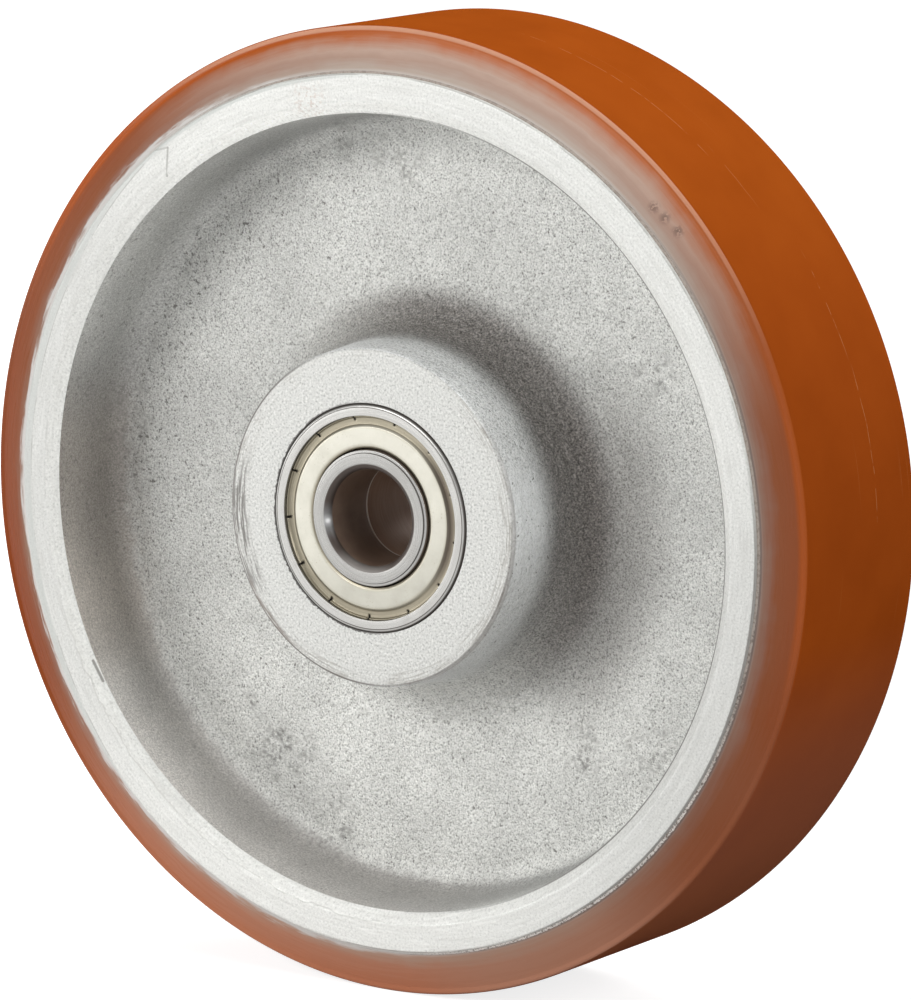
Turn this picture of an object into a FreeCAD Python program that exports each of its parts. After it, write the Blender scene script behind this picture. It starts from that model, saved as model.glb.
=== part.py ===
import FreeCAD, Part
import math
import os

# A heavy-duty wheel with a cast polyurethane tread, a cast-iron centre and two shielded ball
# bearings. Millimetres. The wheel spins about Y, its centre is the origin, Z is up, and the
# side called front faces -Y. Both sides of the casting are alike.

# Tread
tread_diameter = 200.0        # over the running surface
tread_thickness = 9.5         # polyurethane over the rim
tread_setback = 4.0           # from the rim's face back to the running edge
tread_step = 0.8              # from the rim's face back to where the side of the tread starts
tread_edge_land = 1.4         # flat ring left on the side of the tread beside the running edge
tread_edge_radius = 0.4       # rounding of the running edge

# Cast centre
rim_width = 50.0              # between the rim's two faces
rim_thickness = 8.2           # radial wall of the rim where its inner bevel ends
rim_bevel_width = 2.4         # radial width of the bevel turned on the rim's inner edge
rim_bevel_depth = 1.8         # from the rim's face down to where that bevel meets the cast wall
rim_bevel_radius = 0.8        # rounding between the bevel and the rim's face
rim_corner_radius = 0.6       # rounding of the rim's outer edge, beside the tread
rim_root_radius = 5.0         # fillet between the rim and the web
recess_draft = 4.0            # degrees, draft of the recess on the rim and on the hub
web_thickness = 9.0
hub_overhang = 2.0            # how far the hub's face stands out past the rim's face
hub_wall = 11.4               # radial wall of the hub around a bearing, at the hub's face
hub_edge_radius = 0.8         # rounding of the hub's outer edge
hub_root_radius = 12.0        # fillet between the hub and the web
seat_chamfer = 0.2            # lead-in of a bearing seat
seat_ledge = 3.0              # ledge that a bearing's outer ring stops against

# Bearings, 20 x 47 x 14
axle_diameter = 20.0
bearing_diameter = 47.0
bearing_width = 14.0
bearing_stand_out = 0.5       # how far a bearing stands out past the hub's face
ring_chamfer = 1.0            # corners of the rings at the axle and at the seat
land_chamfer = 0.3            # corners of the inner ring beside a shield
ball_diameter = 7.938
ball_count = 8
race_depth = 1.37             # from a ring's land down to the bottom of its race
race_conformity = 0.52        # radius of a race as a share of the ball's diameter
race_clearance = 0.1          # between a ball and the bottom of a race

# Shields
shield_sheet = 0.4            # thickness of the pressed steel
shield_recess = 0.7           # from the rings' face down to the flat of the shield
shield_step = 0.5             # from the flat down to the flange that is crimped in
shield_gap = 0.95             # running gap between the shield and the inner ring
shield_flange = 2.2           # radial width of the crimped flange
shield_bend = 0.4             # radial width of the slope between the flat and the flange
shield_lip = 0.45             # height and width of the lip crimped against the outer ring
shield_seat_step = 1.65       # ledge in the outer ring that the shield is crimped on
shield_seat_clearance = 0.03  # between the shield's rim and the outer ring
notch_count = 13
notch_start = 18.8            # degrees, where the first notch stands, from +X towards +Z
notch_width = 0.9
notch_length = 1.2            # from the shield's rim inwards

# Cages
cage_sheet = 0.7              # thickness of the pressed steel
cage_gap = 1.0                # between the cage and the land of either ring
pocket_clearance = 0.12       # between a ball and its pocket
rivet_diameter = 1.4
rivet_head_diameter = 2.2
rivet_head_height = 0.45

# Spacer between the inner rings
spacer_clearance = 0.2        # between the spacer and the axle
spacer_wall = 2.8

# Sizes that follow from those above
tread_radius = tread_diameter / 2
rim_radius = tread_radius - tread_thickness
rim_half = rim_width / 2
running_half = rim_half - tread_setback
hub_half = rim_half + hub_overhang
web_half = web_thickness / 2
bearing_radius = bearing_diameter / 2
bearing_half = bearing_width / 2
axle_radius = axle_diameter / 2
clamp_half = hub_half + bearing_stand_out
bearing_offset = clamp_half - bearing_half
seat_floor = clamp_half - bearing_width
ball_radius = ball_diameter / 2
pitch_radius = (axle_radius + bearing_radius) / 2
inner_race_radius = pitch_radius - ball_radius - race_clearance
outer_race_radius = pitch_radius + ball_radius + race_clearance
inner_land_radius = inner_race_radius + race_depth
outer_land_radius = outer_race_radius - race_depth
shield_seat_radius = outer_land_radius + shield_seat_step
shield_seat_depth = shield_recess + shield_step + shield_sheet
cage_inner_radius = inner_land_radius + cage_gap
cage_outer_radius = outer_land_radius - cage_gap
draft_slope = math.tan(math.radians(recess_draft))

ORIGIN = FreeCAD.Vector(0, 0, 0)
ALONG_AXLE = FreeCAD.Vector(0, 1, 0)
UPWARD = FreeCAD.Vector(0, 0, 1)
ROUNDING_ROOM = 0.48          # share of a straight run that a rounding at its end may take


def outline(corners):
    """A closed wire through corners given as (radius, place along the axle, rounding)."""
    places = [FreeCAD.Vector(radius, along, 0) for radius, along, rounding in corners]
    edges = []
    ends = []
    for index, corner in enumerate(places):
        rounding = corners[index][2]
        to_last = places[index - 1] - corner
        to_next = places[(index + 1) % len(places)] - corner
        if rounding == 0:
            ends.append((corner, corner))
            continue
        half_angle = to_last.getAngle(to_next) / 2
        room = ROUNDING_ROOM * min(to_last.Length, to_next.Length)
        reach = min(rounding / math.tan(half_angle), room)
        to_last.normalize()
        to_next.normalize()
        middle = to_last + to_next
        middle.normalize()
        arc_radius = reach * math.tan(half_angle)
        crown = reach / math.cos(half_angle) - arc_radius
        start = corner + to_last * reach
        end = corner + to_next * reach
        edges.append(Part.Arc(start, corner + middle * crown, end).toShape())
        ends.append((start, end))
    for index in range(len(ends)):
        leaving = ends[index - 1][1]
        arriving = ends[index][0]
        edges.append(Part.LineSegment(leaving, arriving).toShape())
    return Part.Wire(Part.__sortEdges__(edges))


def turned(corners):
    """A solid turned about the axle from its outline."""
    return Part.Face(outline(corners)).revolve(ORIGIN, ALONG_AXLE, 360)


def both_sides(front_corners):
    """An outline that is alike on both sides, from the corners of its front half."""
    rear_corners = [(radius, -along, rounding) for radius, along, rounding in reversed(front_corners)]
    return front_corners + rear_corners


def turned_band(inner_radius, outer_radius, start, end):
    """A plain ring between two radii and two places along the axle."""
    return turned([
        (inner_radius, start, 0),
        (outer_radius, start, 0),
        (outer_radius, end, 0),
        (inner_radius, end, 0),
    ])


def place_around(radius, angle):
    """A point in the plane of the wheel, at an angle from +X towards +Z."""
    turn = math.radians(angle)
    return FreeCAD.Vector(radius * math.cos(turn), 0, radius * math.sin(turn))


def turned_over(shape):
    """The same piece facing the other way along the axle."""
    other = shape.copy()
    other.rotate(ORIGIN, UPWARD, 180)
    return other


def make_tread():
    """The polyurethane ring bonded on the rim, with sides that slope back to the running edge."""
    land_radius = tread_radius - tread_edge_land
    return turned(both_sides([
        (rim_radius, -(rim_half - tread_step), 0),
        (land_radius, -running_half, 0),
        (tread_radius, -running_half, tread_edge_radius),
    ]))


def make_wheel_centre():
    """The one-piece casting: rim, web and hub, with a bearing seat in each side of the hub."""
    hub_radius = bearing_radius + hub_wall
    hub_root = hub_radius + draft_slope * (hub_half - web_half)
    wall_radius = rim_radius - rim_thickness
    bevel_end = rim_half - rim_bevel_depth
    wall_root = wall_radius - draft_slope * (bevel_end - web_half)
    return turned(both_sides([
        (bearing_radius - seat_ledge, -seat_floor, 0),
        (bearing_radius, -seat_floor, 0),
        (bearing_radius, -(hub_half - seat_chamfer), 0),
        (bearing_radius + seat_chamfer, -hub_half, 0),
        (hub_radius, -hub_half, hub_edge_radius),
        (hub_root, -web_half, hub_root_radius),
        (wall_root, -web_half, rim_root_radius),
        (wall_radius, -bevel_end, 0),
        (wall_radius + rim_bevel_width, -rim_half, rim_bevel_radius),
        (rim_radius, -rim_half, rim_corner_radius),
    ]))


def make_spacer():
    """The tube that keeps the two inner rings apart when the axle is tightened."""
    bore_radius = axle_radius + spacer_clearance
    return turned_band(bore_radius, bore_radius + spacer_wall, -seat_floor, seat_floor)


def race_groove(bottom_radius, towards_balls):
    """The round groove that a ring's race is cut with."""
    groove_radius = race_conformity * ball_diameter
    middle_radius = bottom_radius + towards_balls * groove_radius
    return Part.makeTorus(middle_radius, groove_radius, ORIGIN, ALONG_AXLE)


def make_outer_ring():
    """The ring pressed into the hub, with a ledge for a shield in each face."""
    blank = turned(both_sides([
        (outer_land_radius, -(bearing_half - shield_seat_depth), 0),
        (shield_seat_radius, -(bearing_half - shield_seat_depth), 0),
        (shield_seat_radius, -bearing_half, 0),
        (bearing_radius - ring_chamfer, -bearing_half, 0),
        (bearing_radius, -(bearing_half - ring_chamfer), 0),
    ]))
    return blank.cut(race_groove(outer_race_radius, -1))


def make_inner_ring():
    """The ring that the axle goes through."""
    blank = turned(both_sides([
        (axle_radius, -(bearing_half - ring_chamfer), 0),
        (axle_radius + ring_chamfer, -bearing_half, 0),
        (inner_land_radius - land_chamfer, -bearing_half, 0),
        (inner_land_radius, -(bearing_half - land_chamfer), 0),
    ]))
    return blank.cut(race_groove(inner_race_radius, 1))


def make_shield():
    """The pressed dust shield in a bearing's face, with a notched lip crimped into the ring."""
    flat = -(bearing_half - shield_recess)
    flange = flat + shield_step
    rim = shield_seat_radius - shield_seat_clearance
    flat_rim = shield_seat_radius - shield_flange
    flange_root = flat_rim + shield_bend
    disc = turned([
        (inner_land_radius + shield_gap, flat, 0),
        (flat_rim, flat, 0),
        (flange_root, flange, 0),
        (rim - shield_lip, flange, 0),
        (rim - shield_lip / 2, flange - shield_lip, 0),
        (rim, flange - shield_lip, 0),
        (rim, flange + shield_sheet, 0),
        (flange_root - shield_sheet / 2, flange + shield_sheet, 0),
        (flat_rim - shield_sheet / 2, flat + shield_sheet, 0),
        (inner_land_radius + shield_gap, flat + shield_sheet, 0),
    ])
    notch_height = shield_lip + 2 * shield_sheet
    corner = FreeCAD.Vector(rim - notch_length, flange - shield_lip - shield_sheet / 2, -notch_width / 2)
    notches = []
    for index in range(notch_count):
        notch = Part.makeBox(2 * notch_length, notch_height, notch_width, corner)
        notch.rotate(ORIGIN, ALONG_AXLE, index * 360 / notch_count - notch_start)
        notches.append(notch)
    return disc.cut(notches)


def ball_angles():
    """Where the balls stand round the bearing, the first at the top."""
    return [90 + index * 360 / ball_count for index in range(ball_count)]


def rivet_angles():
    """Where the cage's rivets stand, half way between the balls."""
    return [angle + 180 / ball_count for angle in ball_angles()]


def make_cage_half():
    """The half of the pressed cage on the face side: a flat ribbon with a domed pocket per ball."""
    pocket_radius = ball_radius + pocket_clearance
    dome_radius = pocket_radius + cage_sheet
    half = turned_band(cage_inner_radius, cage_outer_radius, -cage_sheet, 0)
    reach = turned_band(cage_inner_radius, cage_outer_radius, -2 * dome_radius, 0)
    centres = [place_around(pitch_radius, angle) for angle in ball_angles()]
    for centre in centres:
        dome = Part.makeSphere(dome_radius, centre, ALONG_AXLE, -90, 0)
        half = half.fuse(dome.common(reach))
    for centre in centres:
        half = half.cut(Part.makeSphere(pocket_radius, centre, ALONG_AXLE))
    for angle in rivet_angles():
        start = place_around(pitch_radius, angle) - ALONG_AXLE * 2 * cage_sheet
        half = half.cut(Part.makeCylinder(rivet_diameter / 2, 4 * cage_sheet, start, ALONG_AXLE))
    return half.removeSplitter()


def make_rivets():
    """The rivets that close the two halves of the cage, each with a head at both ends."""
    rivets = []
    for angle in rivet_angles():
        middle = place_around(pitch_radius, angle)
        shank_end = ALONG_AXLE * cage_sheet
        rivet = Part.makeCylinder(rivet_diameter / 2, 2 * cage_sheet, middle - shank_end, ALONG_AXLE)
        for side in (-1, 1):
            head = Part.makeCone(
                rivet_head_diameter / 2,
                rivet_diameter / 2,
                rivet_head_height,
                middle + shank_end * side,
                ALONG_AXLE * side,
            )
            rivet = rivet.fuse(head)
        rivets.append(rivet.removeSplitter())
    return Part.makeCompound(rivets)


def make_bearing():
    """Every piece of one bearing, about its own middle plane, with its face towards -Y."""
    shield = make_shield()
    cage_half = make_cage_half()
    pieces = {
        "outer_ring": make_outer_ring(),
        "inner_ring": make_inner_ring(),
        "face_shield": shield,
        "back_shield": turned_over(shield),
        "cage_face_half": cage_half,
        "cage_back_half": turned_over(cage_half),
        "cage_rivets": make_rivets(),
    }
    for number, angle in enumerate(ball_angles(), start=1):
        pieces["ball_%d" % number] = Part.makeSphere(ball_radius, place_around(pitch_radius, angle))
    return pieces


def make_parts():
    """Every piece of the wheel, by name."""
    parts = {
        "tread": make_tread(),
        "wheel_centre": make_wheel_centre(),
        "spacer_tube": make_spacer(),
    }
    for name, piece in make_bearing().items():
        front_piece = piece.copy()
        front_piece.translate(ALONG_AXLE * -bearing_offset)
        parts["front_" + name] = front_piece
        rear_piece = turned_over(piece)
        rear_piece.translate(ALONG_AXLE * bearing_offset)
        parts["rear_" + name] = rear_piece
    return parts


os.makedirs("parts", exist_ok=True)
for name, part in make_parts().items():
    part.exportStep("parts/%s.step" % name)
    print(name, "solids", len(part.Solids), "valid", part.isValid(), "volume", round(part.Volume, 2))
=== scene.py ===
# %% [markdown]
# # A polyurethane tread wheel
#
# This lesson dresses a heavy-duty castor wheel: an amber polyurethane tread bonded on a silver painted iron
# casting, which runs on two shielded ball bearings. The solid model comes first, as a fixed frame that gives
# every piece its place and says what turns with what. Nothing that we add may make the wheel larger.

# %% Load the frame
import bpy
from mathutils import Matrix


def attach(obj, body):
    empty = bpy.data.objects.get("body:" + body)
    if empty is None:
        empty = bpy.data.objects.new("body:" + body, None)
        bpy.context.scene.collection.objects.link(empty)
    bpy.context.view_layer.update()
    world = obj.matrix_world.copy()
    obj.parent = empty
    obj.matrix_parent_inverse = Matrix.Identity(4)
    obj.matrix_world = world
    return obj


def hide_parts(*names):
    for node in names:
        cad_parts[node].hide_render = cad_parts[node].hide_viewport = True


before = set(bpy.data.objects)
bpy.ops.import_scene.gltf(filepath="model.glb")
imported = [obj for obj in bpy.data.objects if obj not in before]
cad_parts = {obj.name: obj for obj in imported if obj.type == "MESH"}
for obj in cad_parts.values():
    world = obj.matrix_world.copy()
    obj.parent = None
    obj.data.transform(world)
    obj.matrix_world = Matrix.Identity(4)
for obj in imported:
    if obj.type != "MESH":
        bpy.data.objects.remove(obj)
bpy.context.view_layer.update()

# %% [markdown]
# ## The camera
#
# The photograph looks at the front of the wheel from its right and a little from above, through a long lens.
# A camera could be set by eye, but the wheel is full of circles whose sizes we know, so the angles and the
# distance below come from fitting those circles to the picture. We give them as a direction, a distance and
# a small sideways and upward step, which are easier to read than a matrix.

# %% Camera
import math
from functools import reduce

import bmesh
import bpy
import numpy as np
from mathutils import Matrix, Vector, noise

MM = 0.001
HUB_FACE = 27.0
VIEW_ROUND = math.radians(33.94)
VIEW_UP = math.radians(9.849)
CAMERA_DISTANCE = 1322.2
STEP_RIGHT = 17.384
STEP_UP = 3.727
towards_camera = Vector((
    math.sin(VIEW_ROUND) * math.cos(VIEW_UP),
    -math.cos(VIEW_ROUND) * math.cos(VIEW_UP),
    math.sin(VIEW_UP),
))
camera_right = Vector((math.cos(VIEW_ROUND), math.sin(VIEW_ROUND), 0))
camera_up = towards_camera.cross(camera_right)

camera_data = bpy.data.cameras.new("product_camera")
camera_data.lens = 234
camera_data.sensor_width = 36
camera_data.clip_start = 0.05
camera_data.clip_end = 50
camera = bpy.data.objects.new("product_camera", camera_data)
bpy.context.scene.collection.objects.link(camera)
camera.location = Vector((0, -HUB_FACE * MM, 0)) + (
    towards_camera * CAMERA_DISTANCE + camera_right * STEP_RIGHT + camera_up * STEP_UP
) * MM
camera.rotation_mode = "QUATERNION"
camera.rotation_quaternion = (-towards_camera).to_track_quat("-Z", "Y")
bpy.context.scene.camera = camera
bpy.context.scene.view_settings.view_transform = "Standard"
print("camera stands at", [round(v, 4) for v in camera.location])

# %% [markdown]
# ## A helper for node graphs
#
# The world, the floor and every finish are graphs of nodes. Written out in full, each node takes several lines,
# so this class keeps one graph and adds a node per call. A value that is a number goes straight into the socket,
# and a value that is an output gets linked. The Light Path node at the end tells rays that look at a surface
# from rays that only carry light to another one.


# %% Graph helper
class Graph:
    """A node tree in the making."""

    def __init__(self, tree):
        self.tree = tree

    def add(self, kind, operation=None, **values):
        """Adds one node and feeds its sockets by name."""
        node = self.tree.nodes.new(kind)
        if operation:
            node.operation = operation
        for name, value in values.items():
            self.feed(node.inputs[name.replace("_", " ")], value)
        return node

    def feed(self, socket, value):
        """Links an output to a socket, or sets the socket to a number."""
        if isinstance(value, bpy.types.NodeSocket):
            self.tree.links.new(value, socket)
        else:
            socket.default_value = value

    def maths(self, operation, *values):
        """A Math node."""
        node = self.add("ShaderNodeMath", operation)
        for socket, value in zip(node.inputs, values):
            self.feed(socket, value)
        return node.outputs[0]

    def total(self, *values):
        """The sum of any number of values."""
        return reduce(lambda so_far, value: self.maths("ADD", so_far, value), values)

    def times(self, *values):
        """The product of any number of values."""
        return reduce(lambda so_far, value: self.maths("MULTIPLY", so_far, value), values)

    def largest(self, *values):
        """The largest of any number of values."""
        return reduce(lambda so_far, value: self.maths("MAXIMUM", so_far, value), values)

    def measure(self, operation, first, second=(0, 0, 0)):
        """A Vector Math node that gives one number, such as a length or a distance."""
        node = self.add("ShaderNodeVectorMath", operation)
        self.feed(node.inputs[0], first)
        self.feed(node.inputs[1], second)
        return node.outputs["Value"]

    def level(self, value, low, high, start=0.0, end=1.0, shape="SMOOTHSTEP"):
        """Fades from start to end while the value goes from low to high."""
        node = self.add("ShaderNodeMapRange")
        node.interpolation_type = shape
        for socket, item in zip(node.inputs, (value, low, high, start, end)):
            self.feed(socket, item)
        return node.outputs["Result"]

    def seen_directly(self):
        """One where a camera, glossy or transmission ray arrives, and zero for light that only illuminates."""
        rays = self.add("ShaderNodeLightPath").outputs
        return self.largest(rays["Is Camera Ray"], rays["Is Glossy Ray"], rays["Is Transmission Ray"])


# %% [markdown]
# ## The room
#
# The wheel was shot on a white sweep under big soft lamps. If the world itself were bright enough to be white
# in the picture, it would also flood the casting with light from every side and its grain would vanish. So the
# world is white where the camera, a reflection or a refraction looks at it, and dimmer as a source of light.

# %% World
DIM_SKY = 0.10
world = bpy.data.worlds.new("white_sweep")
bpy.context.scene.world = world
world.use_nodes = True
sky = Graph(world.node_tree)
background = sky.tree.nodes["Background"].inputs
background["Color"].default_value = (1, 1, 1, 1)
sky.feed(background["Strength"], sky.level(sky.seen_directly(), 0.0, 1.0, DIM_SKY, 1.0))
print("world: white to look at,", DIM_SKY, "as a source of light")

# %% [markdown]
# The floor carries the wheel just under the tread. A plain white floor would throw a lot of light up at the
# tread, which in the photograph falls off to a deep brown towards the ground on the right. The floor is therefore
# a grey diffuse surface, darker on the right, that glows a little, but only for rays that look at it. So it stays
# white in the picture, still takes the wheel's soft shadow, and sends little light back up.

# %% Floor
TREAD_RADIUS = 100.0
FLOOR_LEVEL = -TREAD_RADIUS * MM
RIGHT_HAND = (0.8, 0.6, 0.0)
SHADE_FROM_LEFT = (-0.12, 0.15, 0.80, 0.20)
GLOW_WITH_DISTANCE = (0.15, 0.9, 0.80, 1.0)
bpy.ops.mesh.primitive_grid_add(x_subdivisions=4, y_subdivisions=4, size=12, location=(0, 0, FLOOR_LEVEL))
floor = bpy.context.object
floor.name = "floor"
floor_paint = bpy.data.materials.new("floor_paint")
floor_paint.use_nodes = True
paint = Graph(floor_paint.node_tree)
floor_shader = paint.tree.nodes["Principled BSDF"].inputs
floor_shader["Roughness"].default_value = 0.9
floor_shader["Specular IOR Level"].default_value = 0.0
floor_shader["Emission Color"].default_value = (1, 1, 1, 1)
floor_place = paint.add("ShaderNodeTexCoord").outputs["Object"]
to_the_right = paint.measure("DOT_PRODUCT", floor_place, RIGHT_HAND)
paint.feed(floor_shader["Base Color"], paint.level(to_the_right, *SHADE_FROM_LEFT, shape="LINEAR"))
far_glow = paint.level(paint.measure("LENGTH", floor_place), *GLOW_WITH_DISTANCE)
paint.feed(floor_shader["Emission Strength"], paint.times(paint.seen_directly(), far_glow))
floor.data.materials.append(floor_paint)
print("floor at", FLOOR_LEVEL, "m")

# %% [markdown]
# Five soft boxes do the rest. The key stands low on the left, so the web to the right of the hub and the wall of
# the recess fall into shade as in the photograph. A wide one at the front, a little higher, fills in the faces
# that look at us. One on the right skims the hub and lights the tread, one hangs overhead, and one behind keeps
# the back of the wheel from going dark. All are large, which keeps every shadow soft, and none stands where the
# flat steel of the bearing would mirror it straight into the camera.


# %% Lamps
def soft_box(name, place, width, height, watts):
    """A rectangular area lamp that looks at the middle of the wheel."""
    lamp = bpy.data.lights.new(name, "AREA")
    lamp.shape = "RECTANGLE"
    lamp.size = width
    lamp.size_y = height
    lamp.energy = watts
    holder = bpy.data.objects.new(name, lamp)
    bpy.context.scene.collection.objects.link(holder)
    holder.location = place
    holder.rotation_mode = "QUATERNION"
    holder.rotation_quaternion = (-Vector(place)).to_track_quat("-Z", "Y")
    print(name, "stands at", place, "with", watts, "W")


soft_box("key_lamp", (-1.225, -1.028, 0.056), 0.8, 0.4, 6.5)
soft_box("front_lamp", (-0.496, -1.363, 0.676), 1.0, 0.5, 11.5)
soft_box("right_lamp", (1.413, -0.198, 0.726), 0.8, 0.8, 13.5)
soft_box("top_lamp", (0.0, 0.1, 1.6), 1.0, 1.0, 10)
soft_box("back_lamp", (0.1, 1.2, 1.0), 1.0, 1.0, 15)

# %% [markdown]
# ## A helper for finishes
#
# Every surface gets a procedural material. Positions in its graph are in millimetres, measured in the piece's own
# space, so a pattern turns with the wheel. The class keeps the colour so far, because a finish is built up as a
# painter would do it: a ground colour, then one layer of dirt, wear or dust after another, each laid on with a
# share that says where it shows. Angles go around the axle, from zero at the right to 90 at the top.


# %% Finish helper
def on_wheel(angle, radius, along):
    """The point in millimetres at an angle, a radius and a place along the axle."""
    turn = math.radians(angle)
    return Vector((radius * math.cos(turn), along, radius * math.sin(turn)))


class Finish(Graph):
    """A material in the making, with its colour so far, and place, radius and depth in millimetres ready to use."""

    def __init__(self, name):
        self.material = bpy.data.materials.new(name)
        self.material.use_nodes = True
        super().__init__(self.material.node_tree)
        self.shader = self.tree.nodes["Principled BSDF"]
        self.colour = None
        place = self.tree.nodes.new("ShaderNodeTexCoord").outputs["Object"]
        self.mm = self.vector("SCALE", place, Scale=1000.0)
        self.x, self.along, self.z = self.add("ShaderNodeSeparateXYZ", Vector=self.mm).outputs
        across = self.add("ShaderNodeCombineXYZ", X=self.x, Z=self.z).outputs[0]
        self.round = self.vector("NORMALIZE", across)
        self.radius = self.measure("LENGTH", across)
        self.depth = self.maths("ABSOLUTE", self.along)

    def off(self, value, middle):
        """How far a value lies from a middle, on either side."""
        return self.maths("ABSOLUTE", self.maths("SUBTRACT", value, middle))

    def sway(self, value, reach):
        """Turns noise, which lies around a half, into an offset of up to this reach either way."""
        return self.maths("MULTIPLY_ADD", value, 2 * reach, -reach)

    def vector(self, operation, first, second=None, **values):
        """A Vector Math node."""
        node = self.add("ShaderNodeVectorMath", operation, **values)
        self.feed(node.inputs[0], first)
        if second is not None:
            self.feed(node.inputs[1], second)
        return node.outputs[0]

    def band(self, low, high, start=0.0, end=1.0):
        """Fades while the radius goes from low to high."""
        return self.level(self.radius, low, high, start, end)

    def sideways(self, low, high, start=0.0, end=1.0):
        """Fades while the way along the axle, to either side, goes from low to high."""
        return self.level(self.depth, low, high, start, end)

    def spread(self, noise_value, start, end):
        """Goes from start to end over the middle of a noise, where most of it lies."""
        return self.level(noise_value, 0.3, 0.7, start, end)

    def grain(self, size, detail=2.0, rough=0.5, at=None):
        """Noise with features of about this size in millimetres."""
        node = self.add("ShaderNodeTexNoise", Scale=1.0 / size, Detail=detail, Roughness=rough)
        self.feed(node.inputs["Vector"], self.mm if at is None else at)
        return node.outputs["Fac"]

    def rings(self, across, around, radius):
        """Places for noise drawn out along circles: as fine as its size across, and this long around them."""
        turn = self.vector("SCALE", self.round, Scale=radius * across / around)
        parts = self.add("ShaderNodeSeparateXYZ", Vector=turn).outputs
        return self.add("ShaderNodeCombineXYZ", X=parts[0], Y=self.radius, Z=parts[2]).outputs[0]

    def hoops(self, squeeze):
        """Places for noise drawn out around a surface that runs along the axle."""
        x, z = self.times(self.x, squeeze), self.times(self.z, squeeze)
        return self.add("ShaderNodeCombineXYZ", X=x, Y=self.along, Z=z).outputs[0]

    def spot(self, angle, radius, along, size):
        """One at a place on the wheel, fading to zero at this distance from it."""
        return self.level(self.measure("DISTANCE", self.mm, on_wheel(angle, radius, along)), 0.0, size, 1.0, 0.0)

    def stroke(self, first, last, width):
        """One along a straight scratch between two places on the wheel, fading to zero across its width."""
        start = on_wheel(*first)
        run = on_wheel(*last) - start
        offset = self.vector("SUBTRACT", self.mm, start)
        share = self.add("ShaderNodeClamp", Value=self.measure("DOT_PRODUCT", offset, run / run.length_squared))
        nearest = self.vector("SCALE", run, Scale=share.outputs[0])
        return self.level(self.measure("DISTANCE", offset, nearest), width / 6, width / 2, 1.0, 0.0)

    def towards(self, angle, low, high, start=0.0, end=1.0):
        """Fades around the axle, by the cosine of the turn between a point and this angle."""
        return self.level(self.measure("DOT_PRODUCT", self.round, on_wheel(angle, 1.0, 0.0)), low, high, start, end)

    def colours(self, value, *stops):
        """A colour ramp through (place, colour) stops."""
        node = self.add("ShaderNodeValToRGB", Fac=value)
        ramp = node.color_ramp
        while len(ramp.elements) < len(stops):
            ramp.elements.new(1.0)
        for element, (place, colour) in zip(ramp.elements, stops):
            element.position = place
            element.color = (*colour, 1.0)
        return node.outputs["Color"]

    def blend(self, share, first, second, mode="MIX"):
        """Mixes two colours."""
        node = self.add("ShaderNodeMix")
        node.data_type = "RGBA"
        node.blend_type = mode
        self.feed(node.inputs[0], share)
        for socket, value in ((node.inputs[6], first), (node.inputs[7], second)):
            self.feed(socket, (*value, 1.0) if isinstance(value, tuple) else value)
        return node.outputs[2]

    def lay(self, colour, *shares):
        """Lays a colour over the one so far, as strong as the product of the shares."""
        self.colour = self.blend(self.times(*shares), self.colour, colour)

    def tint(self, factor, share=1.0):
        """Multiplies the colour so far by a factor or another colour."""
        self.colour = self.blend(share, self.colour, factor, "MULTIPLY")

    def shade(self, *arcs):
        """Darkens or lightens the colour so far around the axle, by (angle, low, high, strength) arcs."""
        for angle, low, high, strength in arcs:
            self.tint(self.towards(angle, low, high, 1.0, strength))

    def bump(self, height, deep, under=None):
        """Tilts the surface as if the height, from zero to one, were this deep in millimetres."""
        node = self.add("ShaderNodeBump", Height=height, Distance=deep * MM)
        if under is not None:
            self.feed(node.inputs["Normal"], under)
        return node.outputs["Normal"]

    def done(self, **values):
        """Feeds the colour and these values to the shader's own sockets and hands over the material."""
        for name, value in {"Base_Color": self.colour, **values}.items():
            self.feed(self.shader.inputs[name.replace("_", " ")], value)
        print("finish", self.material.name, "has", len(self.tree.nodes), "nodes")
        return self.material


# %% [markdown]
# ## A helper for turned pieces
#
# Nearly everything on a wheel is turned about one axle, so one helper makes nearly every mesh. It takes the
# cross-section as a list of corners, each with a rounding, because a real edge is never perfectly sharp and it
# is the rounding that catches the light. A Screw modifier could spin a curve too, but placing the points
# ourselves lets us choose how fine each stretch is, give it a finish, and roughen it where metal was cast.


# %% Cross-sections
def rounded_corner(before, corner, after, rounding, arc_step):
    """Points of the arc that rounds a corner between its neighbours, about arc_step degrees apart."""
    if not rounding:
        return [corner]
    to_last, to_next = before - corner, after - corner
    half = to_last.angle(to_next) / 2
    reach = min(rounding / math.tan(half), 0.48 * min(to_last.length, to_next.length))
    to_last.normalize()
    to_next.normalize()
    centre = corner + (to_last + to_next).normalized() * (reach / math.cos(half))
    first = corner + to_last * reach - centre
    last = corner + to_next * reach - centre
    turn = math.atan2(first.x * last.y - first.y * last.x, first.dot(last))
    steps = max(2, round(math.degrees(abs(turn)) / arc_step))
    arc = []
    for step in range(steps + 1):
        cos, sin = math.cos(turn * step / steps), math.sin(turn * step / steps)
        arc.append(centre + Vector((first.x * cos - first.y * sin, first.x * sin + first.y * cos)))
    return arc


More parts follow.
